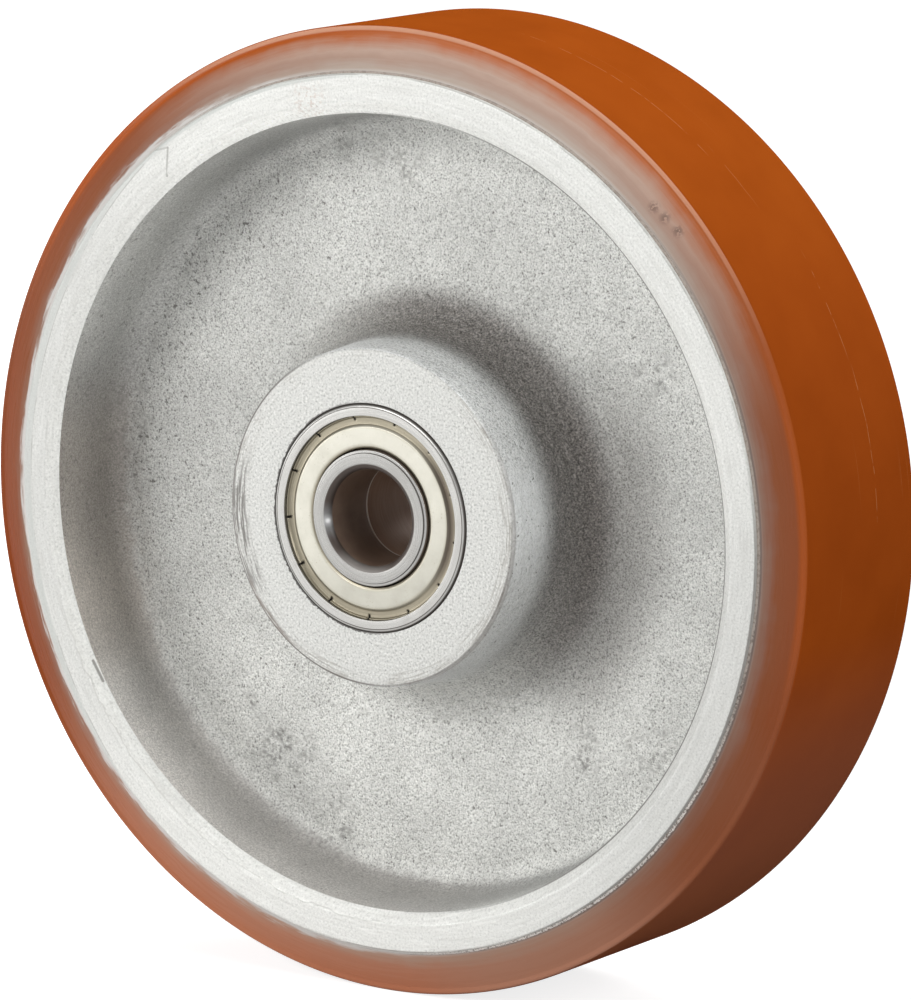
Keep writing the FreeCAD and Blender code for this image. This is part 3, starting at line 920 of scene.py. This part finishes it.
# %% Ground steel
STEP_RADIUS = 13.44
ground = Finish("ground_steel")
ground_lines = ground.grain(0.12, 2.0, 0.6, ground.rings(0.12, 14.0, 16.0))
ground.colour = ground.colours(
    ground_lines, (0.3, (0.215, 0.211, 0.202)), (0.5, (0.258, 0.254, 0.244)), (0.7, (0.305, 0.301, 0.288)))
ground.tint(ground.band(19.0, 20.0, 1.0, 1.25))
ground.lay((0.22, 0.212, 0.20), ground.level(ground.grain(5.0, 3.0, 0.6), 0.45, 0.75, 0.0, 0.35))
oil_film = ground.band(10.5, 10.2)
ground.lay(ground.colours(
    ground.grain(3.0, 3.0, 0.6), (0.35, (0.185, 0.125, 0.092)), (0.65, (0.215, 0.150, 0.110))), oil_film)
# Painted shade in creases: the rounded outer edge, the groove under the shield and the step of the inner ring.
outer_edge = ground.largest(ground.level(ground.off(ground.radius, 22.85), 0.13, 0.05, 0.0, 0.9),
                            ground.band(23.20, 23.32))
in_groove = ground.times(ground.band(19.0, 19.3), ground.sideways(26.7, 26.4))
at_step = ground.level(ground.off(ground.radius, STEP_RADIUS), 0.10, 0.05, 0.0, 0.8)
shaded_creases = ground.largest(outer_edge, in_groove, at_step)
ground.lay((0.070, 0.062, 0.055), shaded_creases)
on_land = ground.times(ground.band(13.85, 13.98), ground.sideways(27.15, 27.0), ground.band(14.3, 14.2))
ground.lay((0.17, 0.13, 0.10), on_land)
# The mouth's rounding is painted dark as shade and dark reflection, lighter at the bottom as a painted reflection,
# with a painted glint on the left.
mouth = ground.times(ground.band(11.35, 11.05), ground.sideways(25.9, 26.3))
mouth_colour = ground.blend(ground.towards(262, 0.75, 1.0, 0.0, 0.6), (0.058, 0.044, 0.037), (0.24, 0.225, 0.21))
for size, gleam in ((4.5, 0.22), (1.7, 0.45), (0.8, 0.95)):
    painted_glint = ground.spot(188, 10.55, -HUB_FACE, size)
    mouth_colour = ground.blend(painted_glint, mouth_colour, (gleam, gleam, gleam))
ground.lay(mouth_colour, mouth)
dulled = ground.largest(oil_film, shaded_creases, on_land, mouth)
GROUND_STEEL = ground.done(
    Metallic=ground.level(dulled, 0.0, 1.0, 1.0, 0.15),
    Roughness=ground.total(ground.spread(ground_lines, 0.34, 0.24), ground.times(dulled, 0.15)),
    Specular_IOR_Level=0.25,
    Normal=ground.bump(ground_lines, 0.004),
)

# %% [markdown]
# A section turned about the bearing's own middle serves both bearings: the rear one is the front one turned over.
# The race is a round groove, so its points come from an arc rather than from rounded corners.

# %% Rings
BEARING_OFFSET = 20.5
HALF_WIDTH = 7.0
BORE_RADIUS = 10.0
OUTER_LAND, GROOVE_RADIUS, GROOVE_FLOOR = 19.449, 21.099, 5.4
INNER_LAND, STEP_DEPTH = 14.051, 6.72
OUTER_RACE, INNER_RACE = 20.819, 12.681
BALL_DIAMETER = 7.938
RACE_GROOVE = 0.52 * BALL_DIAMETER


def race(bottom, towards_balls, land, count=10):
    """Corners along a race, from the front edge of the groove to the rear one."""
    middle = bottom + towards_balls * RACE_GROOVE
    half = math.acos((middle - land) * towards_balls / RACE_GROOVE)
    arc = []
    for step in range(count + 1):
        angle = half * (2 * step / count - 1)
        radius = middle - towards_balls * RACE_GROOVE * math.cos(angle)
        arc.append((radius, RACE_GROOVE * math.sin(angle), 0.0, 1.0, 0))
    return arc


def moved(corners, along):
    """The same corners, shifted along the axle."""
    return [(radius, place + along, *rest) for radius, place, *rest in corners]


outer_corners = both_sides([
    (OUTER_LAND, -GROOVE_FLOOR, 0.1, 1.5, 0),
    (GROOVE_RADIUS, -GROOVE_FLOOR, 0.1, 0.8, 0),
    (GROOVE_RADIUS, -HALF_WIDTH, 0.12, 0.5, 0),
    (SEAT_RADIUS, -HALF_WIDTH, 0.7, 4.0, 0),
]) + race(OUTER_RACE, -1, OUTER_LAND)[::-1]
inner_corners = [
    (BORE_RADIUS, -HALF_WIDTH, 1.4, 0.6, 0),
    (STEP_RADIUS - 0.02, -HALF_WIDTH, 0.06, 0.3, 0),
    (STEP_RADIUS + 0.02, -STEP_DEPTH, 0.06, 0.3, 0),
    (INNER_LAND, -STEP_DEPTH, 0.2, 1.5, 0),
    *race(INNER_RACE, 1, INNER_LAND),
    (INNER_LAND, HALF_WIDTH, 0.3, 0.6, 0),
    (BORE_RADIUS, HALF_WIDTH, 0.6, 1.5, 0),
]
for ring, corners, body in (("outer_ring", outer_corners, "wheel"), ("inner_ring", inner_corners, "inner_sleeve")):
    front = turned("front_%s_ground" % ring, moved(corners, -BEARING_OFFSET), 360, (GROUND_STEEL,))
    both_stand_for(front, ring, body)

# %% [markdown]
# The shields are pressed from thin steel with a warm yellow passivated coat. The flat near the inner ring is
# bright; outside it the sheet steps down into a channel, where dust collects and the coat is painted browner and
# darker as shade, most of all on the slope at the right. The edges of the flat carry painted shade, the whole
# shield is painted darker towards the bottom, and dirt specks are scattered over it in clouds.

# %% Passivated sheet
coat = Finish("passivated_sheet")
coat_lines = coat.grain(0.3, 2.0, 0.55, coat.rings(0.3, 9.0, 18.0))
coat.colour = coat.colours(coat.grain(4.0, 3.0, 0.6), (0.3, (0.40, 0.388, 0.335)), (0.5, (0.435, 0.422, 0.367)),
                           (0.72, (0.46, 0.447, 0.392)))
# Painted shade towards the bottom.
coat.shade((285, 0.0, 1.0, 0.82))
# The channel is painted darker and browner, as dust and as shade.
channel = coat.largest(coat.band(18.85, 19.25), coat.band(14.85, 14.6))
coat.lay(coat.colours(coat_lines, (0.35, (0.125, 0.105, 0.073)), (0.65, (0.225, 0.195, 0.142))), channel, 0.85)
# Painted shade along both edges of the flat.
shaded_flat_edges = coat.largest(coat.band(15.5, 14.85), coat.band(18.1, 18.8))
coat.lay((0.26, 0.235, 0.17), shaded_flat_edges, 0.4)
# Painted shade on the slope at the right.
shaded_slope = coat.times(coat.band(18.55, 18.85), coat.band(20.9, 19.5))
coat.lay((0.072, 0.055, 0.042), shaded_slope, coat.towards(5, 0.55, 0.95, 0.0, 0.85))
specks = coat.level(coat.grain(0.4, 3.0, 0.7), 0.60, 0.66)
coat.lay((0.17, 0.14, 0.09), specks, coat.level(coat.grain(3.2, 2.0), 0.52, 0.62, 0.1, 1.0), 0.7)
PASSIVATED_SHEET = coat.done(
    Metallic=0.75,
    Roughness=coat.spread(coat_lines, 0.42, 0.32),
    Normal=coat.bump(coat_lines, 0.006),
)

# %% [markdown]
# The shield ends in a lip with thirteen notches that let it spread as it is crimped into the groove. We turn one
# skin, leave out the faces of the notches, and let a Solidify modifier give it the thickness of the sheet.

# %% Shields
NOTCHES = 13
NOTCH_START = 18.8
COLUMNS_PER_NOTCH = 40
NOTCH_COLUMNS = 2
NOTCH_FOOT = 20.2
SHEET_THICKNESS = 0.38
shield_corners = moved([
    (14.34, -6.02, 0.0, 0.2, 0),
    (14.90, -6.30, 0.3, 0.6, 0),
    (18.75, -6.30, 0.35, 0.3, 0),
    (19.35, -5.80, 0.35, 0.35, 0),
    (20.62, -5.80, 0.2, 0.3, 0),
    (20.85, -6.25, 0.12, 0.2, 0),
    (21.06, -6.25, 0.0, 0.2, 0),
], -BEARING_OFFSET)


def cut_notches(piece):
    """Takes the faces of the notches out of a turned skin."""
    skin = bmesh.new()
    skin.from_mesh(piece.data)
    doomed = []
    for face in skin.faces:
        middle = face.calc_center_median() / MM
        turn = math.degrees(math.atan2(middle.z, middle.x)) - NOTCH_START
        offset = (turn * NOTCHES / 360 + 0.5) % 1.0 - 0.5
        if math.hypot(middle.x, middle.z) > NOTCH_FOOT and abs(offset) * COLUMNS_PER_NOTCH < NOTCH_COLUMNS / 2:
            doomed.append(face)
    bmesh.ops.delete(skin, geom=doomed, context="FACES")
    skin.to_mesh(piece.data)
    skin.free()
    print(piece.name, "lost", len(doomed), "faces to its notches")


front_shield = turned("front_face_shield_pressed", shield_corners, NOTCHES * COLUMNS_PER_NOTCH,
                      (PASSIVATED_SHEET,), 15.0, closed=False, start=NOTCH_START)
cut_notches(front_shield)
sheet = front_shield.modifiers.new("sheet", "SOLIDIFY")
sheet.thickness = SHEET_THICKNESS * MM
sheet.offset = -1.0
both_stand_for(front_shield, "face_shield", "wheel")

# %% [markdown]
# ## Inside the bearings
#
# Balls, cages, rivets and the inner shields are as the solid model has them, and hardly a glint of them shows
# through the gap beside the inner ring. Their forms are right, so they only get finishes: polished steel for the
# balls, plain pressed steel for the cages, and the shields' own coat.

# %% Finishes inside
polish = Finish("polished_steel")
polish_cloud = polish.grain(2.0, 3.0, 0.6)
polish.colour = polish.colours(polish_cloud, (0.35, (0.60, 0.60, 0.61)), (0.65, (0.68, 0.68, 0.69)))
POLISHED_STEEL = polish.done(Metallic=1.0, Roughness=polish.spread(polish_cloud, 0.10, 0.05))
pressed = Finish("pressed_steel")
pressed_grain = pressed.grain(0.8, 3.0, 0.65)
pressed.colour = pressed.colours(pressed_grain, (0.35, (0.38, 0.37, 0.35)), (0.65, (0.50, 0.49, 0.465)))
PRESSED_STEEL = pressed.done(
    Metallic=1.0,
    Roughness=pressed.spread(pressed_grain, 0.5, 0.34),
    Normal=pressed.bump(pressed_grain, 0.01),
)
for word, material in (("shield", PASSIVATED_SHEET), ("cage", PRESSED_STEEL), ("ball", POLISHED_STEEL)):
    for name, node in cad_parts.items():
        if word in name:
            for slot in node.material_slots:
                slot.material = material

# %% [markdown]
# The spacer tube between the inner rings can be seen down the bore. It is a turned tube with the same brown oil
# on it, apart from its bare ends, which show as the pale joint in the photograph.

# %% Spacer tube
TUBE_BORE, TUBE_RADIUS = 10.2, 13.0
tube = Finish("oiled_tube")
tube_lines = tube.grain(0.3, 2.0, 0.6, tube.hoops(0.05))
tube.colour = tube.colours(tube_lines, (0.35, (0.32, 0.215, 0.155)), (0.65, (0.36, 0.25, 0.185)))
tube.lay((0.80, 0.75, 0.69), tube.sideways(13.15, 13.25))
OILED_TUBE = tube.done(
    Metallic=0.15,
    Roughness=tube.spread(tube_lines, 0.5, 0.38),
    Specular_IOR_Level=0.25,
    Normal=tube.bump(tube_lines, 0.004),
)
spacer = turned("spacer_tube_turned", both_sides([
    (TUBE_BORE, -SEAT_LEDGE, 0.32, 1.0, 0),
    (TUBE_RADIUS, -SEAT_LEDGE, 0.25, 4.0, 0),
]), 240, (OILED_TUBE,))
stand_for(spacer, "spacer_tube", "inner_sleeve")
